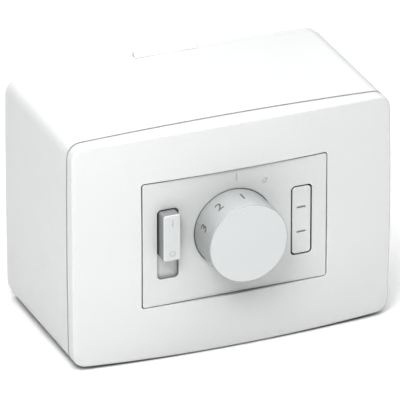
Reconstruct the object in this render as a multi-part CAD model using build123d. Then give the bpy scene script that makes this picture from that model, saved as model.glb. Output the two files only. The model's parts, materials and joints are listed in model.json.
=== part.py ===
from build123d import *
import os
from math import cos, radians, sin

# Surface-mounted three-speed fan controller: a deep wall box with a bowed cover plate,
# a three-module control insert, a rotary speed knob and an on/off slide switch.
# Millimetres. X is right and Z is up as seen from the room, and +Y points into the wall.
# The origin is the middle of the rear face, on the wall. "depth" is the distance out
# from the wall, so a point at depth d has y = -d.

# ---- Outer form ----
BODY_WIDTH = 116.4        # between the corners of the outline
BODY_HEIGHT = 81.8
TOP_BOW = 1.1             # how far the top and bottom edges bulge past the corners
SIDE_BOW = 0.35           # the same for the left and right edges
CORNER_RADIUS = 5.0
SEAM_DEPTH = 57.4         # box meets cover plate
SEAM_GAP = 0.7            # shadow gap between them
SKIN = 2.2                # wall thickness of box and cover

# ---- Wall plate ----
PLATE_THICK = 3.0
PLATE_CORNER = 6.0
TAB_WIDTH, TAB_DEPTH, TAB_RISE = 23.0, 3.2, 1.2
WALL_SLOT_SPACING = 60.0  # the usual 60 mm of a flush wall box
WALL_SLOT_LENGTH, WALL_SLOT_WIDTH = 9.0, 4.5
CABLE_WINDOW = (40.0, 24.0)
GROMMET_X, GROMMET_Z, GROMMET_RADIUS, GROMMET_BORE = 0.0, -23.0, 9.0, 4.0
GROMMET_LIP, OUTER_LIP, INNER_LIP, GROMMET_CONE = 1.5, 0.6, 1.2, 4.0
GROMMET_NECK = GROMMET_RADIUS - GROMMET_LIP
POST_X, POST_Z, POST_RADIUS = 50.0, 33.0, 3.6
HOUSING_SCREW_RADIUS = 1.5
HOUSING_SCREW_HEAD = (4.4, 2.2)   # radius and height
KNOCKOUT_X, KNOCKOUT_Y, KNOCKOUT_RADIUS, KNOCKOUT_GROOVE = 32.0, -30.0, 9.0, 0.6

# ---- Cover plate dome ----
DOME_RISE = 7.7           # middle of the front above the seam
DOME_RADIUS_X = 600.0     # bow seen from above
DOME_RADIUS_Z = 1050.0    # bow seen from the side
COVER_EDGE = 1.0          # rounding of the front edge

# ---- Control insert ----
INSERT_WIDTH, INSERT_HEIGHT, INSERT_Z = 67.5, 46.2, 1.3
INSERT_GAP = 0.4
INSERT_CORNER = 0.9
OPENING_CORNER = INSERT_CORNER + INSERT_GAP
INSERT_FRONT = 63.8       # depth of its front face
INSERT_THICK = 2.2
INSERT_BACK = INSERT_FRONT - INSERT_THICK
SLOT_X, SLOT_WIDTH, SLOT_HEIGHT = 24.5, 7.7, 25.9
SLOT_Z = INSERT_Z - 0.3
SLOT_RECESS = 1.5
SLOT_CORNER = 1.0
CAP_GAP = 0.5             # round the blanking cap
CAP_SLIT = (2.8, 0.7)
CAP_SLIT_Z, CAP_SLIT_DEPTH = 4.6, 0.6
OPENING = (INSERT_WIDTH + 2 * INSERT_GAP, INSERT_HEIGHT + 2 * INSERT_GAP)
INSERT_EDGE = 0.3
SKIRT_WALL = 1.5

# ---- Knob and rotary switch ----
KNOB_X, KNOB_Z = -0.5, 2.7
KNOB_RADIUS, KNOB_FRONT, KNOB_EDGE = 14.3, 77.3, 0.45
WELL_RADIUS, WELL_DEPTH = 14.9, 0.9
KNOB_BACK = INSERT_FRONT - 0.5
KNOB_WALL, KNOB_FACE = 1.8, 2.0
HUB_RADIUS, HUB_RECESS = 5.2, 4.6
WEB_REACH, WEB_LENGTH, WEB_THICK = 8.8, 8.2, 1.2
SHAFT_RADIUS = 3.0
SHAFT_FLAT = 1.5          # from the shaft's axis to its flat
SHAFT_END = 3.5           # shaft tip behind the knob's front
SPRING_THICK, SPRING_WIDTH = 0.6, 4.0
BUSH_RADIUS = 4.5
NUT_SEAT = INSERT_FRONT - WELL_DEPTH
SWITCH_RADIUS = 14.0
SWITCH_BACK = INSERT_BACK - 12.0
LID_THICK, SWITCH_WALL = 1.8, 1.6
ROTOR_RADIUS, ROTOR_HUB, ROTOR_THICK, ROTOR_NOTCH = 10.0, 5.0, 3.0, 1.4
CONTACT_CIRCLE, COMMON_CIRCLE = 7.0, 8.0
TAG = (1.8, 0.8)
WASHER_RADIUS, WASHER_THICK, NUT_RADIUS, NUT_THICK = 7.0, 0.6, 6.6, 2.2
TAG_DEPTH = SWITCH_BACK - 2.5
SPEED_COUNT, SPEED_STEP = 3, 36.0   # the step is in degrees

# ---- Slide switch ----
BUTTON_WIDTH, BUTTON_HEIGHT, BUTTON_PROUD = 6.2, 17.0, 4.5
BUTTON_TRAVEL = 8.3
BUTTON_Z = SLOT_Z + SLOT_HEIGHT / 2 - BUTTON_HEIGHT / 2 - 0.3
SLIDE_X = -SLOT_X - 0.25  # middle of the button and its switch
STEM = (2.6, 2.4)
STEM_Z = BUTTON_Z + 1.6   # high on the button, so that the button covers its window when it is up
BUTTON_CORNER, BUTTON_EDGE = 0.8, 0.4
SLIDE_BODY = (11.0, 29.0)
SLIDE_WALL = 1.5
SLIDE_TAG, SLIDE_PAD, SLIDE_CONTACT = (4.0, 0.8), (4.4, 2.6), (4.6, 8.0)
SLIDE_BACK = INSERT_BACK - 12.0
SLIDE_TAG_DEPTH = SLIDE_BACK - 5.0
SLIDE_BRIDGE_DEPTH = SLIDE_BACK + 3.3
SLIDE_TAGS = [BUTTON_Z + drop for drop in (4.6, -BUTTON_TRAVEL / 2, -BUTTON_TRAVEL - 4.6)]

# ---- Support frame (three-module standard) ----
FRAME_SCREW_SPACING = 83.5
FRAME_REAR, FRAME_THICK = 54.0, 2.0
FRAME_WIDTH, FRAME_HEIGHT = 103.0, 66.0
FRAME_SLOT, FRAME_NOTCH = (6.5, 3.8), 8.0
COLLAR_WALL, COLLAR_RISE = 1.3, 3.5
SKIRT_REAR = FRAME_REAR - 1.0
FRAME_SCREW_RADIUS, FRAME_SCREW_LENGTH, FRAME_SCREW_HEAD = 1.4, 12.0, (3.1, 1.8)
FRAME_BOSS_RADIUS, FRAME_PILOT_DEPTH, BOSS_RIB = 4.2, 14.0, 1.6
CLIP_Z, CLIP_WIDTH, CLIP_THICK, BARB_THICK = 18.0, 6.0, 1.4, 1.6

# ---- Transformer (EI 42 laminations standing on the rear wall) ----
CORE_WIDTH, CORE_TALL, CORE_STACK = 42.0, 35.0, 15.0
CORE_LEG = 7.0
CORE_Z = 11.0
COIL_WIDTH, COIL_HEIGHT = 26.0, 30.0
FOOT_X = CORE_WIDTH / 2 + 5.0
FOOT_BOSS_RADIUS, FOOT_SCREW_RADIUS, FOOT_SCREW_LENGTH, FOOT_SCREW_HEAD = 3.4, 1.3, 3.4, (2.8, 1.7)
FLANGE_THICK, BOBBIN_WALL = 1.2, 1.0
CLAMP_THICK = 0.8
REAR_WALL = 2.4
FLOOR_DEPTH = PLATE_THICK + REAR_WALL      # inner face of the box's rear wall
CORE_NEAR = FLOOR_DEPTH + 1.0
CORE_FAR = CORE_NEAR + CORE_TALL

# ---- Terminals, fuse and leads ----
TERMINAL_X, TERMINAL_Z, TERMINAL_PITCH, TERMINAL_COUNT = 28.0, -27.0, 6.0, 5
TERMINAL_FAR = FLOOR_DEPTH + 13.0
TERMINAL_HOLE = 2.0
FUSE_X, FUSE_Z, FUSE_LENGTH, FUSE_RADIUS = -28.0, -27.0, 20.0, 2.6
FUSE_DEPTH = FLOOR_DEPTH + 6.0
FUSE_CAP_LENGTH = 5.0
CLIP_X = FUSE_LENGTH / 2 - FUSE_CAP_LENGTH / 2
CHEEK_THICK = 1.6
LEAD_RADIUS = 0.55
LEAD_BEND, TAP_BEND = 2.5, 1.2
COIL_TOP = CORE_Z + COIL_HEIGHT / 2 - 1.0
OVER_COIL = COIL_TOP + 4.0                 # height at which leads pass over the coil
FRONT_LANE = CORE_FAR + CLAMP_THICK + 1.7  # depth of the leads in front of the core
ENTRY_DEPTH = FLOOR_DEPTH + 3.3            # middle of the terminal block's wire holes


# ---------------------------------------------------------------- helpers
def at(x, z, depth):
    """Location at a point given by X, Z and its depth from the wall."""
    return Pos(x, -depth, z)


def slab(outline, near, far):
    """Solid of an outline drawn in the XZ plane, from depth near to depth far."""
    return extrude(Plane.XZ.offset(near) * outline, far - near)


def block(x, z, width, height, near, far, radius=0.0):
    """Rectangular slab centred on (x, z), with rounded corners."""
    outline = RectangleRounded(width, height, radius) if radius else Rectangle(width, height)
    return slab(Pos(x, z) * outline, near, far)


def disc(x, z, radius, near, far):
    """Round slab centred on (x, z)."""
    return slab(Pos(x, z) * Circle(radius), near, far)


def ring(x, z, outer, inner, near, far):
    return disc(x, z, outer, near, far) - disc(x, z, inner, near - 1, far + 1)


def bowed_outline(inset=0.0, corner=CORNER_RADIUS):
    """Outline of the box: four gently bowed sides with rounded corners."""
    w, h = BODY_WIDTH / 2 - inset, BODY_HEIGHT / 2 - inset
    sides = (
        ThreePointArc((-w, h), (0, h + TOP_BOW), (w, h))
        + ThreePointArc((w, h), (w + SIDE_BOW, 0), (w, -h))
        + ThreePointArc((w, -h), (0, -h - TOP_BOW), (-w, -h))
        + ThreePointArc((-w, -h), (-w - SIDE_BOW, 0), (-w, h))
    )
    face = make_face(sides)
    return fillet(face.vertices(), max(corner - inset, 1.0))


def four(x, z):
    """The four mirrored places (+-x, +-z)."""
    return [(sx * x, sz * z) for sx in (-1, 1) for sz in (-1, 1)]


def pair(x, z):
    return [(-x, z), (x, z)]


def screw(x, z, seat, length, radius, head_size):
    """Pan-head screw driven towards the wall, its head resting at depth seat."""
    head_radius, head_height = head_size
    half, long, wide = head_height * 0.45, head_radius * 1.5, head_radius * 0.28
    shank = disc(x, z, radius, seat - length, seat)
    head = disc(x, z, head_radius, seat, seat + head_height)
    head = fillet(head.edges().filter_by(GeomType.CIRCLE).sort_by(Axis.Y)[0], half)
    slot = block(x, z, long, wide, seat + half, seat + 9)
    cross = block(x, z, wide, long, seat + half, seat + 9)
    return shank + head - slot - cross


def group(solids):
    return Compound(children=list(solids))


# ---------------------------------------------------------------- enclosure
def wall_plate():
    """Flat back plate screwed to the wall, with the hook tab over the top edge."""
    plate = slab(bowed_outline(corner=PLATE_CORNER), 0, PLATE_THICK)
    top = BODY_HEIGHT / 2 + TOP_BOW
    ramp = Polyline((0, top - 5), (0, top + TAB_RISE), (-1, top + TAB_RISE), (-TAB_DEPTH, top),
                    (-PLATE_THICK, top), (-PLATE_THICK, top - 5), close=True)
    plate += extrude(Plane.YZ * make_face(ramp), TAB_WIDTH / 2, both=True)
    plate -= block(GROMMET_X, GROMMET_Z, *CABLE_WINDOW, -1, PLATE_THICK + 1, 3)
    for x, z in pair(WALL_SLOT_SPACING / 2, 0):
        plate -= slab(Pos(x, z) * SlotOverall(WALL_SLOT_LENGTH, WALL_SLOT_WIDTH), -1, PLATE_THICK + 1)
    for x, z in four(POST_X, POST_Z):
        plate += disc(x, z, POST_RADIUS, PLATE_THICK, FLOOR_DEPTH)
        plate -= disc(x, z, HOUSING_SCREW_RADIUS, 0.4, FLOOR_DEPTH + 1)
    return plate


def housing():
    """Deep box: open at the front, with frame bosses and cable knock-outs."""
    shell = slab(bowed_outline(), PLATE_THICK, SEAM_DEPTH - SEAM_GAP)
    shell -= slab(bowed_outline(SKIN), FLOOR_DEPTH, SEAM_DEPTH + 1)
    shell -= disc(GROMMET_X, GROMMET_Z, GROMMET_NECK, 0, FLOOR_DEPTH + 1)
    for x, z in pair(WALL_SLOT_SPACING / 2, 0):
        shell -= slab(Pos(x, z) * SlotOverall(WALL_SLOT_LENGTH + 6, 10), 0, FLOOR_DEPTH + 1)
    for x, z in four(POST_X, POST_Z):
        shell -= disc(x, z, POST_RADIUS + 0.15, 0, FLOOR_DEPTH + 1)
    for side in (-1, 1):
        x = side * FRAME_SCREW_SPACING / 2
        shell += disc(x, INSERT_Z, FRAME_BOSS_RADIUS, FLOOR_DEPTH, FRAME_REAR)
        rib_end = side * (BODY_WIDTH / 2 - SKIN / 2)
        shell += block((x + rib_end) / 2, INSERT_Z, abs(rib_end - x), BOSS_RIB, FLOOR_DEPTH, FRAME_REAR - 2)
        shell -= disc(x, INSERT_Z, FRAME_SCREW_RADIUS, FRAME_REAR - FRAME_PILOT_DEPTH, FRAME_REAR + 1)
    for x, z in pair(FOOT_X, CORE_Z):
        shell += disc(x, z, FOOT_BOSS_RADIUS, FLOOR_DEPTH, CORE_NEAR)
        shell -= disc(x, z, FOOT_SCREW_RADIUS, PLATE_THICK + 0.6, CORE_NEAR + 1)
    groove = Cylinder(KNOCKOUT_RADIUS, 1.2) - Cylinder(KNOCKOUT_RADIUS - KNOCKOUT_GROOVE, 1.2)
    for x in (-KNOCKOUT_X, KNOCKOUT_X):
        shell -= Pos(x, KNOCKOUT_Y, -BODY_HEIGHT / 2 - TOP_BOW + SKIN + 0.3) * groove
    return shell


def cable_grommet():
    """Soft ring in the rear wall that the supply cable comes through."""
    x, z = GROMMET_X, GROMMET_Z
    neck = disc(x, z, GROMMET_NECK - 0.05, PLATE_THICK, FLOOR_DEPTH)
    lips = disc(x, z, GROMMET_RADIUS, PLATE_THICK - OUTER_LIP, PLATE_THICK)
    lips += disc(x, z, GROMMET_RADIUS, FLOOR_DEPTH, FLOOR_DEPTH + INNER_LIP)
    cone = Cone(GROMMET_NECK, GROMMET_BORE + 1.3, GROMMET_CONE)
    cone = at(x, z, FLOOR_DEPTH + INNER_LIP + GROMMET_CONE / 2) * Rot(90, 0, 0) * cone
    return neck + lips + cone - disc(x, z, GROMMET_BORE, 0, FLOOR_DEPTH + 8)


def housing_screws():
    seat, reach = FLOOR_DEPTH, FLOOR_DEPTH - 0.5
    places = four(POST_X, POST_Z)
    return group(screw(x, z, seat, reach, HOUSING_SCREW_RADIUS, HOUSING_SCREW_HEAD) for x, z in places)


# ---------------------------------------------------------------- front
def dome(drop=0.0):
    """Solid that ends at the cover's doubly bowed front face, or drop mm behind it."""
    crest = SEAM_DEPTH + DOME_RISE - drop
    reach, back = BODY_HEIGHT / 2 + 8, 40
    sag = DOME_RADIUS_Z - (DOME_RADIUS_Z**2 - reach**2) ** 0.5
    front = ThreePointArc((0, sag - crest, -reach), (0, -crest, 0), (0, sag - crest, reach))
    rest = Polyline((0, sag - crest, reach), (0, -back, reach), (0, -back, -reach), (0, sag - crest, -reach))
    profile = make_face(front + rest)
    axis = Axis((0, DOME_RADIUS_X - crest, 0), (0, 0, 1))
    half_turn = 8
    profile = profile.rotate(axis, -half_turn)
    return revolve(profile, axis, 2 * half_turn)


def cover_plate():
    """Domed cover with an opening for the insert and a lip that locates in the box."""
    front = SEAM_DEPTH + DOME_RISE + 1
    outer = slab(bowed_outline(), SEAM_DEPTH, front) & dome()
    rim = outer.edges().filter_by(lambda e: e.center().Y < -SEAM_DEPTH - 2 and e.length > 1)
    outer = fillet([e for e in rim if abs(e.center().X) > 50 or abs(e.center().Z) > 35], COVER_EDGE)
    hollow = slab(bowed_outline(SKIN), SEAM_DEPTH - 1, front) & dome(SKIN)
    plate = outer - hollow
    lip = slab(bowed_outline(SKIN + 0.3), SEAM_DEPTH - 2, SEAM_DEPTH)
    lip += slab(bowed_outline(SKIN - 0.5), SEAM_DEPTH, SEAM_DEPTH + 2)
    lip -= slab(bowed_outline(SKIN + 1.5), SEAM_DEPTH - 3, SEAM_DEPTH + 3)
    plate += lip
    plate -= block(0, INSERT_Z, *OPENING, SEAM_DEPTH - 5, front, OPENING_CORNER)
    for side, row in four(1, CLIP_Z):
        x, z, tip = side * FRAME_WIDTH / 2, row + INSERT_Z, FRAME_REAR - 1.4
        plate += block(x + side * 1.0, z, CLIP_THICK, CLIP_WIDTH, tip, SEAM_DEPTH + 3.6)
        plate += block(x + side * 0.3, z, BARB_THICK, CLIP_WIDTH, tip, FRAME_REAR - 0.2)
    return plate


def support_frame():
    """Three-module frame screwed to the box; the insert and the cover clip to it."""
    collar = [size + 2 * COLLAR_WALL for size in OPENING]
    front = FRAME_REAR + FRAME_THICK
    frame = block(0, INSERT_Z, FRAME_WIDTH, FRAME_HEIGHT, FRAME_REAR, front, 4)
    frame += block(0, INSERT_Z, *collar, FRAME_REAR, front + COLLAR_RISE, 2)
    frame -= block(0, INSERT_Z, *OPENING, FRAME_REAR - 1, front + 9, OPENING_CORNER)
    for x, z in pair(FRAME_SCREW_SPACING / 2, INSERT_Z):
        frame -= slab(Pos(x, z) * SlotOverall(*FRAME_SLOT), FRAME_REAR - 1, front + 1)
    for x, z in four(FRAME_WIDTH / 2 - 8, FRAME_HEIGHT / 2 - 9):
        frame -= block(x, z + INSERT_Z, FRAME_NOTCH, FRAME_NOTCH, FRAME_REAR - 1, front + 1, 1.5)
    return frame


def frame_screws():
    seat, size = FRAME_REAR + FRAME_THICK, (FRAME_SCREW_LENGTH, FRAME_SCREW_RADIUS, FRAME_SCREW_HEAD)
    return group(screw(x, z, seat, *size) for x, z in pair(FRAME_SCREW_SPACING / 2, INSERT_Z))


def stem_window(near, far):
    """Room for the button's stem over its travel."""
    return block(SLIDE_X, STEM_Z - BUTTON_TRAVEL / 2, STEM[0] + 0.8, STEM[1] + BUTTON_TRAVEL + 0.8, near, far)


def control_insert():
    """Flat control panel with a skirt, the knob's well and the two side slots."""
    panel = block(0, INSERT_Z, INSERT_WIDTH, INSERT_HEIGHT, INSERT_BACK, INSERT_FRONT, INSERT_CORNER)
    rim = [e for e in panel.edges() if abs(e.center().Y + INSERT_FRONT) < 0.01]
    panel = fillet(rim, INSERT_EDGE)
    inside = (INSERT_WIDTH - 2 * SKIRT_WALL, INSERT_HEIGHT - 2 * SKIRT_WALL)
    skirt = block(0, INSERT_Z, INSERT_WIDTH, INSERT_HEIGHT, SKIRT_REAR, INSERT_BACK, INSERT_CORNER)
    skirt -= block(0, INSERT_Z, *inside, SKIRT_REAR - 1, INSERT_BACK + 0.5, 0.8)
    panel += skirt
    for x, z in pair(INSERT_WIDTH / 2, INSERT_Z):
        panel += block(x, z, BARB_THICK, 2 * CLIP_WIDTH, SKIRT_REAR, FRAME_REAR - 0.2)
    panel -= disc(KNOB_X, KNOB_Z, WELL_RADIUS, NUT_SEAT, INSERT_FRONT + 1)
    panel -= disc(KNOB_X, KNOB_Z, BUSH_RADIUS + 0.05, INSERT_BACK - 1, INSERT_FRONT + 1)
    slot = (SLOT_WIDTH, SLOT_HEIGHT)
    panel -= block(-SLOT_X, SLOT_Z, *slot, INSERT_FRONT - SLOT_RECESS, INSERT_FRONT + 1, SLOT_CORNER)
    panel -= stem_window(INSERT_BACK - 1, INSERT_FRONT)
    panel -= block(SLOT_X, SLOT_Z, *slot, INSERT_BACK - 1, INSERT_FRONT + 1, SLOT_CORNER)
    return panel


def blanking_cap():
    """Snap-in cap in the unused right-hand opening, with two release slits."""
    width, height = SLOT_WIDTH - 2 * CAP_GAP, SLOT_HEIGHT - 2 * CAP_GAP
    cap = block(SLOT_X, SLOT_Z, width, height, INSERT_BACK + 0.4, INSERT_FRONT - 0.05, SLOT_CORNER - 0.2)
    for sign in (-1, 1):
        leg = block(SLOT_X, SLOT_Z + sign * (height / 2 - 1.2), 4, 1.2, INSERT_BACK - 4, INSERT_BACK + 0.6)
        barb = block(SLOT_X, SLOT_Z + sign * (height / 2 - 0.1), 4, 1.0, INSERT_BACK - 2.2, INSERT_BACK - 0.2)
        cap += leg + barb
        slit_z, floor = SLOT_Z + sign * CAP_SLIT_Z, INSERT_FRONT - CAP_SLIT_DEPTH
        cap -= block(SLOT_X, slit_z, *CAP_SLIT, floor, INSERT_FRONT + 1)
    return cap


# ---------------------------------------------------------------- speed knob and rotary switch
def round_knob(reach, angle):
    """X and Z of a point at a distance and angle from the knob's axis."""
    return KNOB_X + reach * cos(radians(angle)), KNOB_Z + reach * sin(radians(angle))


def speed_knob():
    """Hollow cup-shaped knob with a hub that grips the flatted shaft."""
    knob = disc(KNOB_X, KNOB_Z, KNOB_RADIUS, KNOB_BACK, KNOB_FRONT)
    front = [e for e in knob.edges().filter_by(GeomType.CIRCLE) if e.center().Y < -KNOB_FRONT + 0.01]
    knob = fillet(front, KNOB_EDGE)
    ceiling, web_back = KNOB_FRONT - KNOB_FACE, KNOB_BACK + 5
    knob -= disc(KNOB_X, KNOB_Z, KNOB_RADIUS - KNOB_WALL, KNOB_BACK - 1, ceiling)
    web = Box(WEB_LENGTH, ceiling - web_back, WEB_THICK)
    for angle in (45, 135, 225, 315):
        x, z = round_knob(WEB_REACH, angle)
        knob += at(x, z, (web_back + ceiling) / 2) * Rot(0, -angle, 0) * web
    knob += disc(KNOB_X, KNOB_Z, HUB_RADIUS, KNOB_BACK + HUB_RECESS, ceiling)
    return knob - shaft_form(0.02, KNOB_BACK, KNOB_FRONT - SHAFT_END + 0.1) - spring_form(0.02)


def shaft_form(extra, near, far):
    """Round shaft with one flat towards +X, grown by extra."""
    shaft = disc(KNOB_X, KNOB_Z, SHAFT_RADIUS + extra, near, far)
    cut = 2 * (SHAFT_RADIUS - SHAFT_FLAT - extra)
    return shaft - block(KNOB_X + SHAFT_RADIUS, KNOB_Z, cut, 9, KNOB_BACK + 4, KNOB_FRONT)


def spring_form(extra):
    """Leaf beside the shaft's flat, grown by extra."""
    x, width, height = KNOB_X + SHAFT_FLAT + 0.35, SPRING_THICK + 2 * extra, SPRING_WIDTH + 2 * extra
    return block(x, KNOB_Z, width, height, KNOB_BACK + 5, KNOB_FRONT - SHAFT_END - 0.1)


def switch_shaft():
    return shaft_form(0, SWITCH_BACK + LID_THICK - 0.6, KNOB_FRONT - SHAFT_END)


def switch_rotor():
    """Disc that carries the moving contact, turned by the shaft."""
    near = SWITCH_BACK + LID_THICK + 3.0
    far = near + ROTOR_THICK
    rotor = disc(KNOB_X, KNOB_Z, ROTOR_RADIUS, near, far) + disc(KNOB_X, KNOB_Z, ROTOR_HUB, near, far + 1.8)
    for step in range(10):
        x, z = round_knob(ROTOR_RADIUS + 0.6, SPEED_STEP * step)
        rotor -= disc(x, z, ROTOR_NOTCH, near - 1, far + 1)
    return rotor - disc(KNOB_X, KNOB_Z, SHAFT_RADIUS, near - 1, far + 4)


def rotor_contact():
    """Sprung bridge on the rotor that wipes the fixed contacts."""
    near = SWITCH_BACK + LID_THICK + 1.6
    blade = block(KNOB_X, KNOB_Z + 5.9, 2.6, 3.8, near, near + 0.5)
    ring_part = ring(KNOB_X, KNOB_Z, 5.0, SHAFT_RADIUS + 0.4, near, near + 0.5)
    rivet = disc(KNOB_X, KNOB_Z + 6.9, 0.9, near + 0.5, near + 1.4)
    return ring_part + blade + rivet


def detent_spring():
    """Bent leaf in the switch body whose nose rides over the rotor's notches."""
    near, far = SWITCH_BACK + LID_THICK + 3.4, SWITCH_BACK + LID_THICK + 5.6
    nose = disc(KNOB_X, KNOB_Z - 11.4, 1.0, near, far)
    leaf = block(KNOB_X, KNOB_Z - 11.9, 5.0, 0.4, near, far)
    return nose + leaf - block(KNOB_X, KNOB_Z - 13.0, 12, 1.8, near - 1, far + 1)


def rotary_switch_body():
    """Round moulded cup, open at the rear, with its threaded bush through the panel."""
    body = disc(KNOB_X, KNOB_Z, SWITCH_RADIUS, SWITCH_BACK + LID_THICK, INSERT_BACK)
    body -= disc(KNOB_X, KNOB_Z, SWITCH_RADIUS - SWITCH_WALL, SWITCH_BACK, INSERT_BACK - 2)
    body += disc(KNOB_X, KNOB_Z, BUSH_RADIUS, INSERT_BACK - 2, NUT_SEAT + 3.6)
    return body - disc(KNOB_X, KNOB_Z, SHAFT_RADIUS + 0.05, SWITCH_BACK, NUT_SEAT + 9)


def contact_places():
    """The common contact's place, then the speed contacts round the top."""
    speeds = [round_knob(CONTACT_CIRCLE, 90 + SPEED_STEP * step) for step in range(SPEED_COUNT)]
    return [(KNOB_X, KNOB_Z - COMMON_CIRCLE)] + speeds


def rotary_switch_lid():
    lid = disc(KNOB_X, KNOB_Z, SWITCH_RADIUS, SWITCH_BACK, SWITCH_BACK + LID_THICK)
    lid -= disc(KNOB_X, KNOB_Z, SHAFT_RADIUS + 0.05, SWITCH_BACK + 1.0, SWITCH_BACK + LID_THICK + 1)
    for x, z in contact_places():
        lid -= block(x, z, *TAG, SWITCH_BACK - 1, SWITCH_BACK + LID_THICK + 1)
    return lid


def switch_terminals():
    """Fixed contacts: a button inside the switch and a tag through the lid, in one piece."""
    pieces = []
    for x, z in contact_places():
        tag = block(x, z, *TAG, TAG_DEPTH, SWITCH_BACK + LID_THICK)
        button = disc(x, z, 1.2, SWITCH_BACK + LID_THICK, SWITCH_BACK + LID_THICK + 1.2)
        pieces.append(tag + button)
    return group(pieces)


def switch_washer():
    return ring(KNOB_X, KNOB_Z, WASHER_RADIUS, BUSH_RADIUS + 0.05, NUT_SEAT, NUT_SEAT + WASHER_THICK)


def switch_nut():
    hexagon = Pos(KNOB_X, KNOB_Z) * RegularPolygon(NUT_RADIUS, 6)
    near = NUT_SEAT + WASHER_THICK
    nut = slab(hexagon, near, near + NUT_THICK)
    return nut - disc(KNOB_X, KNOB_Z, BUSH_RADIUS + 0.02, NUT_SEAT, NUT_SEAT + 4)


# ---------------------------------------------------------------- on/off slide switch
def slide_button():
    """Finger piece, with the stem that reaches into the switch."""
    floor, front = INSERT_FRONT - SLOT_RECESS + 0.1, INSERT_FRONT + BUTTON_PROUD
    button = block(SLIDE_X, BUTTON_Z, BUTTON_WIDTH, BUTTON_HEIGHT, floor, front, BUTTON_CORNER)
    tip = [e for e in button.edges() if abs(e.center().Y + front) < 0.01]
    button = fillet(tip, BUTTON_EDGE)
    return button + block(SLIDE_X, STEM_Z, *STEM, SLIDE_BRIDGE_DEPTH + 1.0, floor)


def slide_switch_body():
    x = SLIDE_X
    body = block(x, SLOT_Z, *SLIDE_BODY, SLIDE_BACK, INSERT_BACK, 1.0)
    inside = [size - 2 * SLIDE_WALL for size in SLIDE_BODY]
    body -= block(x, SLOT_Z, *inside, SLIDE_BACK + 1.6, INSERT_BACK - 1.4)
    body -= stem_window(INSERT_BACK - 3, INSERT_BACK + 1)
    for z in SLIDE_TAGS:
        body -= block(x, z, *SLIDE_TAG, SLIDE_BACK - 1, SLIDE_BACK + 2)
    return body


def slide_contact():
    """Copper bridge carried by the button's stem."""
    return block(SLIDE_X, BUTTON_Z, *SLIDE_CONTACT, SLIDE_BRIDGE_DEPTH, SLIDE_BRIDGE_DEPTH + 1.0, 0.6)


def slide_terminals():
    pieces = []
    for z in SLIDE_TAGS:
        tag = block(SLIDE_X, z, *SLIDE_TAG, SLIDE_TAG_DEPTH, SLIDE_BACK + 1.6)
        pad = block(SLIDE_X, z, *SLIDE_PAD, SLIDE_BACK + 1.6, SLIDE_BACK + 3.0)
        pieces.append(tag + pad)
    return group(pieces)


# ---------------------------------------------------------------- transformer
def transformer_core():
    """Stacked E and I laminations, with both windows open for the coil."""
    core = block(0, CORE_Z, CORE_WIDTH, CORE_STACK, CORE_NEAR, CORE_FAR)
    window_width = (CORE_WIDTH - 4 * CORE_LEG) / 2
    for x, z in pair(CORE_LEG + window_width / 2, CORE_Z):
        core -= block(x, z, window_width, CORE_STACK + 2, CORE_NEAR + CORE_LEG, CORE_FAR - CORE_LEG)
    return core


def transformer_bobbin():
    """Moulded spool on the centre leg: a tube with a flange at each end."""
    near, far = CORE_NEAR + CORE_LEG + 0.1, CORE_FAR - CORE_LEG - 0.1
    leg = (2 * CORE_LEG + 0.2, CORE_STACK + 0.2)
    spool = block(0, CORE_Z, leg[0] + 2 * BOBBIN_WALL, leg[1] + 2 * BOBBIN_WALL, near, far)
    for start in (near, far - FLANGE_THICK):
        spool += block(0, CORE_Z, COIL_WIDTH, COIL_HEIGHT, start, start + FLANGE_THICK, 1.0)
    return spool - block(0, CORE_Z, *leg, near - 1, far + 1)


def transformer_winding():
    near, far = CORE_NEAR + CORE_LEG + 1.4, CORE_FAR - CORE_LEG - 1.4
    coil = block(0, CORE_Z, COIL_WIDTH - 1.4, COIL_HEIGHT - 2, near, far, 2.5)
    return coil - block(0, CORE_Z, 2 * CORE_LEG + 2.3, CORE_STACK + 2.3, near - 1, far + 1)


def transformer_clamp():
    """Bent steel strap over the core with a foot on each side."""
    outer = CORE_WIDTH + 2 * CLAMP_THICK
    strap = block(0, CORE_Z, outer, CORE_STACK - 1, CORE_NEAR, CORE_FAR + CLAMP_THICK)
    strap -= block(0, CORE_Z, CORE_WIDTH + 0.02, CORE_STACK + 2, CORE_NEAR - 1, CORE_FAR + 0.01)
    for x, z in pair(outer / 2 + 4.5, CORE_Z):
        strap += block(x, z, 9.2, CORE_STACK - 1, CORE_NEAR, CORE_NEAR + CLAMP_THICK)
    for x, z in pair(FOOT_X, CORE_Z):
        strap -= disc(x, z, 1.8, CORE_NEAR - 1, CORE_NEAR + 2)
    return strap


def transformer_screws():
    seat, size = CORE_NEAR + CLAMP_THICK, (FOOT_SCREW_LENGTH, FOOT_SCREW_RADIUS, FOOT_SCREW_HEAD)
    return group(screw(x, z, seat, *size) for x, z in pair(FOOT_X, CORE_Z))


# ---------------------------------------------------------------- wiring
def terminal_xs():
    first = TERMINAL_X - TERMINAL_PITCH * (TERMINAL_COUNT - 1) / 2
    return [first + TERMINAL_PITCH * i for i in range(TERMINAL_COUNT)]


def terminal_block():
    """Moulded strip of five screw terminals on the rear wall."""
    length = TERMINAL_PITCH * TERMINAL_COUNT + 1
    strip = block(TERMINAL_X, TERMINAL_Z, length, 12, FLOOR_DEPTH, TERMINAL_FAR - 4)
    strip += block(TERMINAL_X, TERMINAL_Z, length, 7, FLOOR_DEPTH, TERMINAL_FAR)
    for x in terminal_xs():
        strip -= disc(x, TERMINAL_Z, TERMINAL_HOLE, FLOOR_DEPTH + 5, TERMINAL_FAR + 1)
        strip -= block(x, TERMINAL_Z, 3.4, 14, FLOOR_DEPTH + 1.6, FLOOR_DEPTH + 5.0)
    return strip


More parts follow.
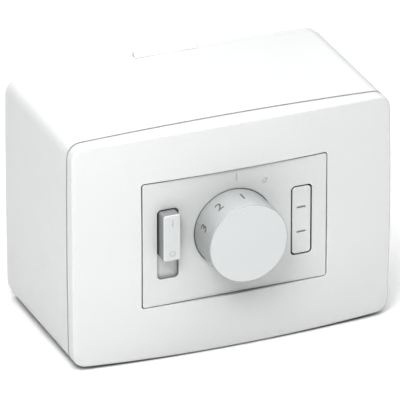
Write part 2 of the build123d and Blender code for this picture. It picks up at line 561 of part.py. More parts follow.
def terminal_screws():
    screws = []
    for x in terminal_xs():
        body = disc(x, TERMINAL_Z, TERMINAL_HOLE - 0.15, FLOOR_DEPTH + 5.4, TERMINAL_FAR - 1.5)
        screws.append(body - block(x, TERMINAL_Z, 5, 0.6, TERMINAL_FAR - 2.4, TERMINAL_FAR))
    return group(screws)


def fuse_holder():
    """Moulded base with two end cheeks that carry the fuse clips."""
    base = block(FUSE_X, FUSE_Z, FUSE_LENGTH + 7, 9, FLOOR_DEPTH, FLOOR_DEPTH + 1.8, 0.8)
    for sign in (-1, 1):
        x = FUSE_X + sign * (FUSE_LENGTH / 2 + CHEEK_THICK)
        base += block(x, FUSE_Z, CHEEK_THICK, 8, FLOOR_DEPTH + 1.0, FUSE_DEPTH + 3)
    return base


def along_x(x, z, depth, radius, length):
    return at(x, z, depth) * Rot(0, 90, 0) * Cylinder(radius, length)


def fuse_clips():
    """Two sprung metal U clips, open towards the room."""
    clips = []
    for sign in (-1, 1):
        x = FUSE_X + sign * CLIP_X
        clip = along_x(x, FUSE_Z, FUSE_DEPTH, FUSE_RADIUS + 0.5, 4)
        clip += block(x, FUSE_Z, 4, 2.4, FLOOR_DEPTH + 1.8, FUSE_DEPTH)
        clip -= along_x(x, FUSE_Z, FUSE_DEPTH, FUSE_RADIUS + 0.01, 6)
        clips.append(clip - block(x, FUSE_Z, 6, 3.4, FUSE_DEPTH + 0.5, FUSE_DEPTH + 9))
    return group(clips)


def fuse():
    """Glass tube fuse with two metal end caps."""
    glass = along_x(FUSE_X, FUSE_Z, FUSE_DEPTH, FUSE_RADIUS - 0.2, FUSE_LENGTH - 1)
    for sign in (-1, 1):
        x = FUSE_X + sign * CLIP_X
        glass += along_x(x, FUSE_Z, FUSE_DEPTH, FUSE_RADIUS, FUSE_CAP_LENGTH)
    return glass


def lead(points, bend=LEAD_BEND):
    """Insulated wire through points given as (x, z, depth), with round bends."""
    route = FilletPolyline(*[(x, -depth, z) for x, z, depth in points], radius=bend)
    return sweep(Plane(route @ 0, z_dir=route % 0) * Circle(LEAD_RADIUS), path=route)


def tap_leads():
    """One lead from each speed contact over the core to its tap on the coil."""
    entry = CORE_NEAR + 22
    return group(
        lead([(x, z, TAG_DEPTH), (x, z, FRONT_LANE), (x, OVER_COIL, FRONT_LANE),
              (x, OVER_COIL, entry), (x, COIL_TOP, entry)], TAP_BEND)
        for x, z in contact_places()[1:])


def supply_leads():
    """Leads between the terminals, fuse, slide switch, coil and rotary switch."""
    common_x, common_z = contact_places()[0]
    fan, live, neutral = terminal_xs()[:3]
    entry_z, clip_z, clip_depth = TERMINAL_Z + 4, FUSE_Z + 1.2, FLOOR_DEPTH + 2.4
    tags_x, lane_z, coil_depth = SLIDE_X, -16.0, CORE_NEAR + 15
    return group([
        lead([(common_x, common_z, TAG_DEPTH), (common_x, common_z, FRONT_LANE),
              (common_x, -12, FRONT_LANE), (fan, -12, FRONT_LANE),
              (fan, -12, ENTRY_DEPTH), (fan, entry_z, ENTRY_DEPTH)]),
        lead([(live, entry_z, ENTRY_DEPTH), (live, lane_z, ENTRY_DEPTH), (live, lane_z, 15),
              (FUSE_X + CLIP_X, lane_z, 15), (FUSE_X + CLIP_X, lane_z, clip_depth),
              (FUSE_X + CLIP_X, clip_z, clip_depth)]),
        lead([(FUSE_X - CLIP_X, clip_z, clip_depth), (FUSE_X - CLIP_X, lane_z, clip_depth),
              (FUSE_X - CLIP_X, lane_z, 38), (tags_x, lane_z, 38),
              (tags_x, SLIDE_TAGS[1], 38), (tags_x, SLIDE_TAGS[1], SLIDE_TAG_DEPTH)]),
        lead([(tags_x, SLIDE_TAGS[0], SLIDE_TAG_DEPTH), (tags_x, SLIDE_TAGS[0], 39),
              (tags_x, OVER_COIL, 39), (tags_x, OVER_COIL, coil_depth),
              (-6, OVER_COIL, coil_depth), (-6, COIL_TOP, coil_depth)]),
        lead([(neutral, entry_z, ENTRY_DEPTH), (neutral, -10, ENTRY_DEPTH), (neutral, -10, coil_depth),
              (4, -10, coil_depth), (4, CORE_Z - COIL_HEIGHT / 2 + 1, coil_depth)]),
    ])


NODES = {
    "wall_plate": wall_plate,
    "housing": housing,
    "cable_grommet": cable_grommet,
    "housing_screws": housing_screws,
    "cover_plate": cover_plate,
    "support_frame": support_frame,
    "frame_screws": frame_screws,
    "control_insert": control_insert,
    "blanking_cap": blanking_cap,
    "speed_knob": speed_knob,
    "knob_spring": lambda: spring_form(0),
    "switch_shaft": switch_shaft,
    "switch_rotor": switch_rotor,
    "rotor_contact": rotor_contact,
    "detent_spring": detent_spring,
    "rotary_switch_body": rotary_switch_body,
    "rotary_switch_lid": rotary_switch_lid,
    "rotary_switch_terminals": switch_terminals,
    "switch_washer": switch_washer,
    "switch_nut": switch_nut,
    "slide_button": slide_button,
    "slide_contact": slide_contact,
    "slide_switch_body": slide_switch_body,
    "slide_switch_terminals": slide_terminals,
    "transformer_core": transformer_core,
    "transformer_bobbin": transformer_bobbin,
    "transformer_winding": transformer_winding,
    "transformer_clamp": transformer_clamp,
    "transformer_screws": transformer_screws,
    "terminal_block": terminal_block,
    "terminal_screws": terminal_screws,
    "fuse_holder": fuse_holder,
    "fuse_clips": fuse_clips,
    "fuse": fuse,
    "tap_leads": tap_leads,
    "supply_leads": supply_leads,
}

os.makedirs("parts", exist_ok=True)
for name, make in NODES.items():
    export_step(make(), f"parts/{name}.step")
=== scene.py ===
import json
import bmesh
import bpy
from math import atan2, cos, hypot, pi, radians, sin, sqrt
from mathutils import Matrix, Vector
from mathutils.geometry import tessellate_polygon


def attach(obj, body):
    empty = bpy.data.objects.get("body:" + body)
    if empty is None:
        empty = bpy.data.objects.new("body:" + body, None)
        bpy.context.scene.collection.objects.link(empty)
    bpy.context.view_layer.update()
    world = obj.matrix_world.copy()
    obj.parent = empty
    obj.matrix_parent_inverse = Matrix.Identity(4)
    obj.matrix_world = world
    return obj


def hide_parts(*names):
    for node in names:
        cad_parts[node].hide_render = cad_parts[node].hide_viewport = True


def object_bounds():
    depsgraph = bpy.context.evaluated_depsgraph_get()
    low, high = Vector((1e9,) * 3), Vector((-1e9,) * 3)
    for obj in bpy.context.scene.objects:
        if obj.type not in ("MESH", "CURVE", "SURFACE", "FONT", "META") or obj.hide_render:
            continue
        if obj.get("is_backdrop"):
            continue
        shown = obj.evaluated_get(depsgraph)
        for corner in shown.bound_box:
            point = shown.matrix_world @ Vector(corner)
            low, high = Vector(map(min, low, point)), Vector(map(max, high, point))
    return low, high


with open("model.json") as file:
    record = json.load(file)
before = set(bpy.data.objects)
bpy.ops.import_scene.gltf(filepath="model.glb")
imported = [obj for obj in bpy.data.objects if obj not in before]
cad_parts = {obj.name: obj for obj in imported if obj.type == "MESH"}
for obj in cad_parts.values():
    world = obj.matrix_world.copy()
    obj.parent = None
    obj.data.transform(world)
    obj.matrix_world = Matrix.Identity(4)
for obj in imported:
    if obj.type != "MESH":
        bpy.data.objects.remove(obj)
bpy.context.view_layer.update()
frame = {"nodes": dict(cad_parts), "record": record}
MM = 0.001

# Sizes in millimetres, as in the CAD. "depth" is the distance out from the wall, so y = -depth.
BODY = dict(width=116.4, height=81.8, bow_top=1.1, bow_side=0.35)
SEAM, SKIN = 57.4, 2.2
CREST, DOME_X, DOME_Z = 65.1, 600.0, 1050.0
# The opening in the cover sits a little up and left of the insert, by "shift".
INSERT = dict(width=67.5, height=46.2, z=1.3, front=63.8, back=61.6, skirt=53.0,
              gap=0.24, corner=0.9, shift=0.12)
SLOT = dict(x=24.5, z=1.0, width=7.7, height=25.9, floor=62.3, gap=0.45, corner=1.5)
KNOB = dict(x=-0.5, z=2.7, radius=14.3, back=63.3, front=77.3, edge=0.45)
WELL_RADIUS, WELL_FLOOR, BUSH_HOLE = 14.45, 62.9, 4.6
BUTTON = dict(x=-24.75, z=5.15, width=6.2, height=17.0, corner=0.9, back=62.4, front=68.3)
STEM = dict(width=2.6, height=2.4, z=6.75, back=53.9, room=0.8)
TRAVEL = 8.3
DIAL_ANGLE, SPEED_STEP, SPEED_COUNT = 87.5, 36.0, 3
COVER_CLIP = dict(x=52.5, barb_x=51.8, row=18, thick=1.4, barb=1.6, width=6,
                  tip=52.6, barb_end=53.8, root=61.0)
CAP_CLIP = dict(width=4, thick=1.2, barb=1.0, tip=57.6, root=62.2, barb_tip=59.4, barb_end=61.4)
CAP_SLIT = dict(z=4.6, width=3.2, height=0.7, deep=0.6)
WEB = dict(middle=8.8, length=8.2, thick=1.2)

# Printed marks: how far each is sunk in and stands proud, and where it is.
MARK_SUNK, MARK_RISE, NUMERAL_RISE = 0.1, 0.03, 0.06
TICK = dict(x=0.5, z=21.4, width=0.42, height=3.0)
ZERO = dict(x=10.9, z=18.4, size=3.4, turn=-36)
NUMERAL = dict(size=5.5, depth=69.9)


# ---------------------------------------------------------------- materials
class Shader:
    """Node tree of one procedural material, in object coordinates."""

    def __init__(self, name):
        self.material = bpy.data.materials.new(name)
        self.material.use_nodes = True
        self.tree = self.material.node_tree
        self.tree.nodes.clear()
        self.coord = self.node("ShaderNodeTexCoord").outputs["Object"]

    def node(self, kind, **values):
        made = self.tree.nodes.new(kind)
        for key, value in values.items():
            if hasattr(made, key):
                setattr(made, key, value)
            else:
                made.inputs[key.replace("_", " ")].default_value = value
        return made

    def link(self, out, into):
        self.tree.links.new(out, into)

    def noise(self, scale, detail=2.0, stretch=(1, 1, 1)):
        mapping = self.node("ShaderNodeMapping", Scale=stretch)
        self.link(self.coord, mapping.inputs["Vector"])
        made = self.node("ShaderNodeTexNoise", Scale=scale, Detail=detail)
        self.link(mapping.outputs[0], made.inputs["Vector"])
        return made.outputs["Fac"]

    def bands(self, scale, axis):
        made = self.node("ShaderNodeTexWave", bands_direction=axis, Scale=scale, Distortion=0.3)
        self.link(self.coord, made.inputs["Vector"])
        return made.outputs["Fac"]

    def remap(self, value, low, high, start=0.0, end=1.0):
        made = self.node("ShaderNodeMapRange")
        for key, number in (("From Min", start), ("From Max", end), ("To Min", low), ("To Max", high)):
            made.inputs[key].default_value = number
        self.link(value, made.inputs["Value"])
        return made.outputs["Result"]

    def mix(self, amount, a, b, blend="MIX"):
        made = self.node("ShaderNodeMix", data_type="RGBA", blend_type=blend)
        for key, value in ((0, amount), (6, a), (7, b)):
            if isinstance(value, (int, float)):
                made.inputs[key].default_value = value
            elif isinstance(value, tuple):
                made.inputs[key].default_value = (*value, 1)
            else:
                self.link(value, made.inputs[key])
        return made.outputs[2]


def surface(name, colour, rough=0.4, spread=0.08, grain=2500, bump=0.06, vary=0.03, metallic=0.0,
            edge=0.15, edge_gain=1.06, bands=None, stretch=(1, 1, 1), coat=0.0, painted_shade=0.05,
            alpha=1.0, depth=0.05):
    """Finish with slow colour drift, fine grain, softened lighter edges and a little painted shade in the
    corners from ambient occlusion.
    """
    s = Shader(name)
    shell = s.node("ShaderNodeBsdfPrincipled", Metallic=metallic, Alpha=alpha)
    shell.inputs["Coat Weight"].default_value = coat
    out = s.node("ShaderNodeOutputMaterial")
    s.link(shell.outputs[0], out.inputs[0])
    drift = s.remap(s.noise(35, 3), 1 - vary, 1 + vary)
    tint = s.mix(1.0, colour, drift, "MULTIPLY")
    soft = s.node("ShaderNodeBevel", samples=4, Radius=edge * MM)
    plain = s.node("ShaderNodeNewGeometry")
    dot = s.node("ShaderNodeVectorMath", operation="DOT_PRODUCT")
    s.link(soft.outputs[0], dot.inputs[0])
    s.link(plain.outputs["Normal"], dot.inputs[1])
    worn = s.remap(dot.outputs["Value"], 1.0, 0.0, 0.75, 0.98)
    ragged = s.mix(1.0, worn, s.noise(900, 3), "MULTIPLY")
    tint = s.mix(ragged, tint, tuple(min(1.0, c * edge_gain) for c in colour))
    # Painted shade: ambient occlusion darkens the colour in corners, creases and recesses.
    corner = s.node("ShaderNodeAmbientOcclusion", samples=4, Distance=1.2 * MM)
    ao_shade = s.remap(corner.outputs["AO"], 1 - painted_shade, 1.0, 0.2, 0.8)
    s.link(s.mix(1.0, tint, ao_shade, "MULTIPLY"), shell.inputs["Base Color"])
    s.link(s.remap(s.noise(220, 4), rough - spread, rough + spread), shell.inputs["Roughness"])
    bumped = s.node("ShaderNodeBump", Strength=bump, Distance=depth * MM)
    s.link(s.bands(*bands) if bands else s.noise(grain, 2, stretch), bumped.inputs["Height"])
    s.link(soft.outputs[0], bumped.inputs["Normal"])
    s.link(bumped.outputs[0], shell.inputs["Normal"])
    return s.material


WHITE = (0.73, 0.735, 0.735)
SKINS = {
    "housing_plastic": surface("housing_abs", WHITE, rough=0.42, bump=0.12, grain=1800, vary=0.02),
    "cover_plastic": surface("cover_abs", WHITE, rough=0.36, vary=0.015),
    "insert_plastic": surface("insert_abs", (0.71, 0.715, 0.715), rough=0.4, vary=0.015),
    "knob_plastic": surface("knob_cap_abs", (0.68, 0.69, 0.69), rough=0.4, vary=0.015),
    "frame_plastic": surface("frame_polycarbonate", (0.66, 0.66, 0.64), rough=0.45),
    "switch_plastic": surface("phenolic_black", (0.035, 0.035, 0.04), rough=0.38, edge_gain=2.0),
    "bobbin_plastic": surface("glass_filled_nylon", (0.6, 0.57, 0.48), rough=0.55, bump=0.2),
    "terminal_plastic": surface("natural_polyamide", (0.72, 0.71, 0.66), rough=0.45),
    "grommet_rubber": surface("grey_rubber", (0.3, 0.3, 0.3), rough=0.7, bump=0.3, vary=0.06),
    "plated_steel": surface("zinc_plate", (0.62, 0.62, 0.58), rough=0.32, metallic=1.0, vary=0.08,
                            grain=900, bump=0.2),
    "spring_steel": surface("bright_spring", (0.55, 0.55, 0.56), rough=0.25, metallic=1.0, stretch=(1, 8, 1)),
    "core_steel": surface("laminations", (0.16, 0.16, 0.17), rough=0.45, metallic=0.7, bands=(650, "Z"),
                          bump=0.6, edge_gain=2.2, vary=0.12),
    "contact_brass": surface("brass", (0.72, 0.5, 0.2), rough=0.3, metallic=1.0, vary=0.08),
    "winding_wire": surface("enamelled_wire", (0.42, 0.13, 0.04), rough=0.28, metallic=0.4, bands=(420, "Y"),
                            bump=1.0, coat=0.5, vary=0.1, depth=0.15),
    "fuse_glass": surface("fuse_tube", (0.8, 0.82, 0.82), rough=0.08, spread=0.03, alpha=0.5, coat=1.0),
    "lead_red": surface("red_insulation", (0.45, 0.03, 0.02), rough=0.4, vary=0.06),
    "lead_blue": surface("blue_insulation", (0.03, 0.07, 0.32), rough=0.4, vary=0.06),
}
# Painted shade: the knob's side is the same white plastic as its cap, given a darker grey for the shade it
# sits in.
KNOB_SIDE_SHADE = surface("knob_side_painted_shade", (0.54, 0.55, 0.55), rough=0.38, vary=0.02, painted_shade=0.0)
# Painted shade: the slide button's sides and the slot's inside walls are white plastic given a dark grey for
# the shade in the recess.
SIDE_AND_SLOT_SHADE = surface("button_and_slot_painted_shade", (0.42, 0.425, 0.425), rough=0.4, vary=0.03, edge_gain=1.4)
INK = surface("dial_ink", (0.27, 0.27, 0.27), rough=0.5, vary=0.1, edge_gain=1.5)
FAINT_INK = surface("panel_ink", (0.61, 0.61, 0.61), rough=0.5, vary=0.05)


# ---------------------------------------------------------------- outlines, as stations (x, z, nx, nz)
def circle(cx, cz, radius, count=96):
    turns = [2 * pi * i / count for i in range(count)]
    return [(cx + radius * cos(t), cz + radius * sin(t), cos(t), sin(t)) for t in turns]


def outline(cx, cz, width, height, corner, bow_top=1e-4, bow_side=1e-4, side=1, arc=8):
    """Rounded rectangle, or one with bowed sides, anticlockwise from the middle of its right side."""
    w, h = width / 2, height / 2
    r1, r2 = (h * h + bow_side**2) / (2 * bow_side), (w * w + bow_top**2) / (2 * bow_top)
    c1, c2 = w + bow_side - r1, h + bow_top - r2
    a, b = w - corner, h - corner
    for _ in range(6):
        a += (r1 - corner) - hypot(a - c1, b)
        b += (r2 - corner) - hypot(a, b - c2)
    low, high = atan2(b, a - c1), atan2(b - c2, a)
    quarter = [(c1 + r1 * cos(low * i / side), r1 * sin(low * i / side), low * i / side) for i in range(side)]
    for i in range(arc + 1):
        t = low + (high - low) * i / arc
        quarter.append((a + corner * cos(t), b + corner * sin(t), t))
    for i in range(1, side):
        t = high + (pi / 2 - high) * i / side
        quarter.append((r2 * cos(t), c2 + r2 * sin(t), t))
    top = (0, h + bow_top, pi / 2)
    half = quarter + [top] + [(-x, z, pi - t) for x, z, t in reversed(quarter[1:])]
    whole = half + [(-x, -z, pi + t) for x, z, t in half]
    return [(cx + x, cz + z, cos(t), sin(t)) for x, z, t in whole]


def bowed(corner, side=24):
    return outline(0, 0, BODY["width"], BODY["height"], corner, BODY["bow_top"], BODY["bow_side"], side)


def dome(x, z, drop=0.0):
    """Depth of the cover's doubly bowed front face at (x, z), or drop behind it."""
    sag = DOME_Z - sqrt(DOME_Z**2 - z * z)
    return CREST - drop - DOME_X + sqrt((DOME_X - sag) ** 2 - x * x)


def rounded(corners, steps=5):
    """Section line (inset, depth, radius): each inner corner with a radius becomes an arc."""
    line = [corners[0][:2]]
    for before, here, after in zip(corners, corners[1:], corners[2:]):
        radius = here[2]
        if not radius:
            line.append(here[:2])
            continue
        arms = []
        for other in (before, after):
            du, dd = other[0] - here[0], other[1] - here[1]
            size = hypot(du, dd)
            arms.append((du / size * radius, dd / size * radius))
        (au, ad), (bu, bd) = arms
        for i in range(steps + 1):
            t = pi / 2 * i / steps
            line.append((here[0] + au + bu - bu * cos(t) - au * sin(t),
                         here[1] + ad + bd - bd * cos(t) - ad * sin(t)))
    return line + [corners[-1][:2]]


# ---------------------------------------------------------------- shells
class Shell:
    """A closed surface put together from rings of points."""

    def __init__(self):
        self.points, self.faces, self.skins = [], [], []

    def ring(self, stations, inset, depth):
        start = len(self.points)
        for x, z, nx, nz in stations:
            px, pz = x - nx * inset, z - nz * inset
            self.points.append((px, -(depth(px, pz) if callable(depth) else depth), pz))
        return list(range(start, len(self.points)))

    def strip(self, a, b, skin=0):
        for i in range(len(a)):
            j = (i + 1) % len(a)
            self.faces.append((a[i], a[j], b[j], b[i]))
            self.skins.append(skin)

    def sweep(self, stations, line, skin=0, skins=None):
        """Strips along a section line; returns the first and last ring."""
        rings = [self.ring(stations, inset, depth) for inset, depth in line]
        for i, (a, b) in enumerate(zip(rings, rings[1:])):
            self.strip(a, b, skins(line[i], line[i + 1]) if skins else skin)
        return rings[0], rings[-1]

    def fill(self, *loops, skin=0):
        """Flat face inside the first loop and outside the others."""
        flat = [[Vector(self.points[i]) for i in loop] for loop in loops]
        index = [i for loop in loops for i in loop]
        for face in tessellate_polygon([[Vector((p.x, p.z, 0)) for p in loop] for loop in flat]):
            self.faces.append(tuple(index[i] for i in face))
            self.skins.append(skin)

    def add(self, other, skin):
        start = len(self.points)
        self.points += other.points
        self.faces += [tuple(i + start for i in face) for face in other.faces]
        self.skins += [skin] * len(other.faces)


def plug(stations, corners):
    """Solid with the given outline: closed section line from its back face to its front face."""
    shell = Shell()
    back, front = shell.sweep(stations, rounded(corners))
    shell.fill(back)
    shell.fill(front)
    return shell


def bar(stations, near, far, inset=0.4, near_round=0.2, far_round=0.0):
    """Plug with a plain section from depth near to depth far."""
    return plug(stations, [(inset, near, 0), (0, near, near_round), (0, far, far_round), (inset, far, 0)])


def mark(stations, face):
    """Thin printed bar on a face at the given depth."""
    return bar(stations, face - MARK_SUNK, face + MARK_RISE, 0.1, 0.0)


def piece(name, shell, skins, body, replaced):
    mesh = bpy.data.meshes.new(name)
    mesh.from_pydata([tuple(c * MM for c in p) for p in shell.points], [], shell.faces)
    for skin in skins:
        mesh.materials.append(skin)
    mesh.polygons.foreach_set("material_index", shell.skins)
    work = bmesh.new()
    work.from_mesh(mesh)
    bmesh.ops.recalc_face_normals(work, faces=work.faces)
    work.to_mesh(mesh)
    work.free()
    mesh.shade_smooth()
    mesh.set_sharp_from_angle(angle=radians(38))
    obj = bpy.data.objects.new(name, mesh)
    bpy.context.collection.objects.link(obj)
    obj.modifiers.new("flat_faces", "WEIGHTED_NORMAL").keep_sharp = True
    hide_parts(replaced)
    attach(obj, body)
    return obj


def glyph(text, size, thick):
    """Character as a thin solid in its own plane: u across, v up, w out of the page."""
    font = bpy.data.curves.new("glyph", "FONT")
    font.body, font.size, font.extrude, font.resolution_u = text, size, thick, 4
    font.align_x, font.align_y = "CENTER", "CENTER"
    holder = bpy.data.objects.new("glyph", font)
    bpy.context.collection.objects.link(holder)
    mesh = bpy.data.meshes.new_from_object(holder.evaluated_get(bpy.context.evaluated_depsgraph_get()))
    middle = [(max(v.co[i] for v in mesh.vertices) + min(v.co[i] for v in mesh.vertices)) / 2 for i in (0, 1)]
    made = Shell()
    made.points = [(v.co.x - middle[0], v.co.y - middle[1], v.co.z) for v in mesh.vertices]
    made.faces = [tuple(p.vertices) for p in mesh.polygons]
    bpy.data.objects.remove(holder)
    bpy.data.meshes.remove(mesh)
    return made


def printed(shape, x, z, depth, turn=0.0):
    """The shape laid on a face that looks out into the room, turned anticlockwise."""
    c, s = cos(radians(turn)), sin(radians(turn))
    shape.points = [(x + u * c - v * s, -(depth + w), z + u * s + v * c) for u, v, w in shape.points]
    return shape


def wrapped(shape, angle, radius, depth):
    """The shape laid on the side of the knob with its top towards the wall."""
    bent = []
    for u, v, w in shape.points:
        turn, reach = radians(angle) - u / radius, radius + w
        bent.append((KNOB["x"] + reach * cos(turn), -(depth - v), KNOB["z"] + reach * sin(turn)))
    shape.points = bent
    return shape


# ---------------------------------------------------------------- pieces
def cover_plate():
    gap, shift = INSERT["gap"], INSERT["shift"]
    opening = outline(-shift, INSERT["z"] + shift, INSERT["width"] + 2 * gap, INSERT["height"] + 2 * gap,
                      INSERT["corner"] + gap, side=24)
    edge = bowed(5.0)
    shell = Shell()
    outer = [(SKIN, SEAM), (0.25, SEAM), (0.07, SEAM + 0.07), (0.0, SEAM + 0.25)]
    rings = [shell.ring(edge, inset, depth) for inset, depth in outer]
    turn = 1.0
    for i in range(9):
        t = pi / 2 * i / 8
        rings.append(shell.ring(edge, turn * (1 - cos(t)), lambda x, z: dome(x, z) - turn * (1 - sin(t))))
    grid = 10

    def between(i, drop, start, hole_inset):
        """Ring i of grid between the rim and the opening, on the dome."""
        share = i / grid
        merged = []
        for (x, z, nx, nz), (ox, oz, mx, mz) in zip(edge, opening):
            x, z, ox, oz = x - nx * start, z - nz * start, ox - mx * hole_inset, oz - mz * hole_inset
            merged.append((x + (ox - x) * share, z + (oz - z) * share, 0, 0))
        return shell.ring(merged, 0, lambda px, pz: dome(px, pz, drop))

    lip = 0.2
    rings += [between(i, 0, turn, -lip) for i in range(1, grid + 1)]
    for i in range(1, 5):
        t = pi / 2 * i / 4
        rings.append(shell.ring(opening, -lip * (1 - sin(t)), lambda x, z: dome(x, z) - lip * (1 - cos(t))))
    rings.append(shell.ring(opening, 0, lambda x, z: dome(x, z, SKIN)))
    rings += [between(grid - i, SKIN, SKIN, 0) for i in range(1, grid + 1)]
    for a, b in zip(rings, rings[1:] + rings[:1]):
        shell.strip(a, b)
    rim = Shell()
    section = rounded([(1.7, SEAM + 2, 0), (1.7, SEAM, 0), (SKIN + 0.3, SEAM, 0), (SKIN + 0.3, SEAM - 2, 0.3),
                       (SKIN + 1.5, SEAM - 2, 0.3), (SKIN + 1.5, SEAM + 2, 0)], 3)
    first, last = rim.sweep(edge, section)
    rim.strip(last, first)
    shell.add(rim, 0)
    clip = COVER_CLIP
    for side in (-1, 1):
        for row in (-clip["row"], clip["row"]):
            z = row + INSERT["z"]
            leg = outline(side * clip["x"], z, clip["thick"], clip["width"], 0.4)
            barb = outline(side * clip["barb_x"], z, clip["barb"], clip["width"], 0.4)
            shell.add(bar(leg, clip["tip"], clip["root"], 0.6), 0)
            shell.add(bar(barb, clip["tip"], clip["barb_end"], 0.6, 0.2, 0.2), 0)
    return piece("cover", shell, [SKINS["cover_plastic"]], "case", "cover_plate")


def control_insert():
    front, back, skirt = INSERT["front"], INSERT["back"], INSERT["skirt"]
    rim = outline(0, INSERT["z"], INSERT["width"], INSERT["height"], INSERT["corner"], side=2)
    shell = Shell()
    inner_back, face = shell.sweep(rim, rounded([
        (1.5, back, 0), (1.5, skirt, 0.2), (0, skirt, 0.2), (0, front, 0.3), (0.6, front, 0)]))
    well = circle(KNOB["x"], KNOB["z"], WELL_RADIUS, 128)
    bush = WELL_RADIUS - BUSH_HOLE
    well_front, bush_back = shell.sweep(well, rounded([
        (-0.5, front, 0), (0, front, 0.15), (0, WELL_FLOOR, 0.15), (bush, WELL_FLOOR, 0.1), (bush, back, 0)]))
    left = outline(-SLOT["x"], SLOT["z"], SLOT["width"], SLOT["height"], SLOT["corner"])
    window = outline(BUTTON["x"], STEM["z"] - TRAVEL / 2, STEM["width"] + STEM["room"],
                     STEM["height"] + STEM["room"] + TRAVEL, 0.3)
    # The slot's inside walls take the painted-shade grey (skin 2).
    left_front, left_floor = shell.sweep(left, rounded([
        (-0.4, front, 0), (0, front, 0.15), (0, SLOT["floor"], 0.1), (0.5, SLOT["floor"], 0)]),
        skins=lambda a, b: 2 if a[0] == b[0] == 0 else 0)
    window_front, window_back = shell.sweep(window, [(0, SLOT["floor"]), (0, back)])
    shell.strip(left_floor, window_front)
    right = outline(SLOT["x"], SLOT["z"], SLOT["width"], SLOT["height"], SLOT["corner"])
    right_front, right_back = shell.sweep(right, rounded([(-0.4, front, 0), (0, front, 0.15), (0, back, 0)]))
    shell.fill(face, well_front, left_front, right_front)
    shell.fill(inner_back, bush_back, window_back, right_back)
    for side in (-1, 1):
        clip = outline(side * INSERT["width"] / 2, INSERT["z"], 1.6, 12, 0.3)
        shell.add(bar(clip, skirt, skirt + 0.8, 0.5, 0.2, 0.2), 0)
    shell.add(mark(outline(TICK["x"], TICK["z"], TICK["width"], TICK["height"], 0.15), front), 1)
    zero = glyph("0", ZERO["size"], MARK_RISE)
    shell.add(printed(zero, ZERO["x"], ZERO["z"], front, ZERO["turn"]), 1)
    return piece("insert", shell, [SKINS["insert_plastic"], FAINT_INK, SIDE_AND_SLOT_SHADE], "case",
                 "control_insert")


def blanking_cap():
    width, height = SLOT["width"] - 2 * SLOT["gap"], SLOT["height"] - 2 * SLOT["gap"]
    front, back = INSERT["front"] - 0.05, INSERT["back"] + 0.4
    shell = Shell()
    cap = outline(SLOT["x"], SLOT["z"], width, height, SLOT["corner"] - SLOT["gap"] / 2)
    back_face, front_face = shell.sweep(cap, rounded([
        (0.6, back, 0), (0, back, 0.1), (0, front, 0.2), (0.7, front, 0)]))
    slits, floor = [], front - CAP_SLIT["deep"]
    for sign in (-1, 1):
        slit = outline(SLOT["x"] - 0.1, SLOT["z"] + 0.2 + sign * CAP_SLIT["z"],
                       CAP_SLIT["width"], CAP_SLIT["height"], 0.3)
        top, bottom = shell.sweep(slit, rounded([
            (-0.2, front, 0), (0, front, 0.08), (0, floor, 0), (0.2, floor, 0)]))
        shell.fill(bottom)
        slits.append(top)
    shell.fill(front_face, *slits)
    shell.fill(back_face)
    clip = CAP_CLIP
    for sign in (-1, 1):
        leg_z, barb_z = (SLOT["z"] + sign * (height / 2 - back_off) for back_off in (1.2, 0.1))
        leg = outline(SLOT["x"], leg_z, clip["width"], clip["thick"], 0.3)
        barb = outline(SLOT["x"], barb_z, clip["width"], clip["barb"], 0.3)
        shell.add(bar(leg, clip["tip"], clip["root"]), 0)
        shell.add(bar(barb, clip["barb_tip"], clip["barb_end"], far_round=0.2), 0)
    return piece("blank", shell, [SKINS["insert_plastic"]], "case", "blanking_cap")


def speed_knob():
    radius, back, front = KNOB["radius"], KNOB["back"], KNOB["front"]
    turned = circle(KNOB["x"], KNOB["z"], radius, 160)
    # Below cap_line the knob's edge rounding, side, bore and webs take the painted-shade grey.
    cap_line = front - 0.05
    bore_inset, hub_inset, wall, hub_back, ceiling = radius - 3.05, radius - 5.2, 1.8, back + 4.6, front - 2
    shell = Shell()
    section = rounded([
        (bore_inset, front - 3.4, 0), (bore_inset, hub_back, 0.2), (hub_inset, hub_back, 0.2),
        (hub_inset, ceiling, 0.4), (wall, ceiling, 0.4), (wall, back, 0.3), (0, back, 0.3),
        (0, front, KNOB["edge"]), (1.5, front, 0), (radius - 0.5, front, 0)], 6)
    bore, face = shell.sweep(turned, section, skins=lambda a, b: 0 if min(a[1], b[1]) >= cap_line else 1)
    shell.fill(bore, skin=1)
    shell.fill(face)
    middle = (back + front) / 2 + 1.5
    for quarter in range(4):
        t = radians(45 + 90 * quarter)
        flat = outline(WEB["middle"], 0, WEB["length"], WEB["thick"], 0.3)
        web = [(KNOB["x"] + x * cos(t) - z * sin(t), KNOB["z"] + x * sin(t) + z * cos(t),
                nx * cos(t) - nz * sin(t), nx * sin(t) + nz * cos(t)) for x, z, nx, nz in flat]
        reach = (front - 7 - back) / 2
        shell.add(bar(web, middle - reach, middle + reach, near_round=0.15), 1)
    for speed in range(1, SPEED_COUNT + 1):
        angle = DIAL_ANGLE + SPEED_STEP * (speed - 1)
        numeral = glyph(str(speed), NUMERAL["size"], NUMERAL_RISE)
        shell.add(wrapped(numeral, angle, radius, NUMERAL["depth"]), 2)
    return piece("knob", shell, [SKINS["knob_plastic"], KNOB_SIDE_SHADE, INK], "knob", "speed_knob")


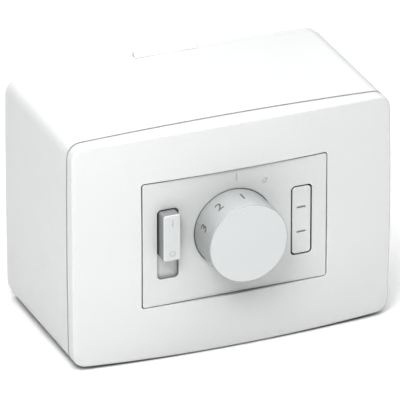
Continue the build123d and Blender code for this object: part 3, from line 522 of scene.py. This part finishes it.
def slide_button():
    x, z, back, front = BUTTON["x"], BUTTON["z"], BUTTON["back"], BUTTON["front"]
    body = outline(x, z, BUTTON["width"], BUTTON["height"], BUTTON["corner"])
    shell = Shell()
    # Below cap_line the button's sides, back and stem take the painted-shade grey.
    cap_line = front - 0.45
    section = rounded([(0.8, back, 0), (0, back, 0.15), (0, front, 0.4), (0.7, front, 0)])
    rear, face = shell.sweep(body, section, skins=lambda a, b: 0 if min(a[1], b[1]) >= cap_line else 1)
    shell.fill(rear, skin=1)
    shell.fill(face)
    stem = outline(x, STEM["z"], STEM["width"], STEM["height"], 0.3)
    shell.add(bar(stem, STEM["back"], back + 0.5, 0.5, 0.15), 1)
    shell.add(mark(outline(x + 0.1, z + 5.6, 0.4, 2.6, 0.15), front), 2)
    shell.add(printed(glyph("O", 3.0, MARK_RISE), x + 0.1, z - 5.8, front), 2)
    return piece("button", shell, [SKINS["knob_plastic"], SIDE_AND_SLOT_SHADE, FAINT_INK], "button",
                 "slide_button")


# ---------------------------------------------------------------- studio
def studio():
    low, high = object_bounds()
    bpy.ops.mesh.primitive_plane_add(size=6, location=(0, 0, low[2] - 0.0002))
    floor = bpy.context.object
    floor.name = "floor"
    floor.data.materials.append(surface("pale_floor", (0.93, 0.93, 0.93), rough=0.6, grain=300, bump=0.0,
                                        vary=0.005, painted_shade=0.0))
    floor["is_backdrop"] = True
    world = bpy.data.worlds.new("studio")
    bpy.context.scene.world = world
    world.use_nodes = True
    world.node_tree.nodes["Background"].inputs[0].default_value = (1, 1, 1, 1)
    world.node_tree.nodes["Background"].inputs[1].default_value = 0.48
    bpy.context.scene.view_settings.view_transform = "Standard"
    bpy.context.scene.view_settings.gamma = 0.55


def area_light(name, place, target, size, power):
    light = bpy.data.lights.new(name, "AREA")
    light.size = size
    light.energy = power
    obj = bpy.data.objects.new(name, light)
    bpy.context.collection.objects.link(obj)
    obj.location = place
    obj.rotation_euler = (Vector(target) - Vector(place)).to_track_quat("-Z", "Y").to_euler()


def camera():
    azimuth, elevation, distance = radians(22.551), radians(25.625), 2.3186
    aim = Vector((-0.002098, -0.038, 0.001861))
    away = Vector((-sin(azimuth) * cos(elevation), -cos(azimuth) * cos(elevation), sin(elevation)))
    cam = bpy.data.cameras.new("camera")
    cam.sensor_width = 36
    cam.lens = 36 * 6791.7 / 400
    obj = bpy.data.objects.new("camera", cam)
    bpy.context.collection.objects.link(obj)
    obj.location = aim + away * distance
    obj.rotation_euler = (-away).to_track_quat("-Z", "Y").to_euler()
    bpy.context.scene.camera = obj


slots = {part["node"]: part["material_slot"] for part in frame["record"]["subparts"]}
for node, obj in frame["nodes"].items():
    obj.data.materials.clear()
    obj.data.materials.append(SKINS[slots[node]])
cover_plate()
control_insert()
blanking_cap()
speed_knob()
slide_button()
studio()
area_light("sky", (-0.07, -0.2, 1.25), (0, -0.04, 0), 2.0, 21.5)
area_light("key", (-0.23, -0.36, 0.38), (-0.03, -0.06, 0.02), 0.2, 0.95)
camera()
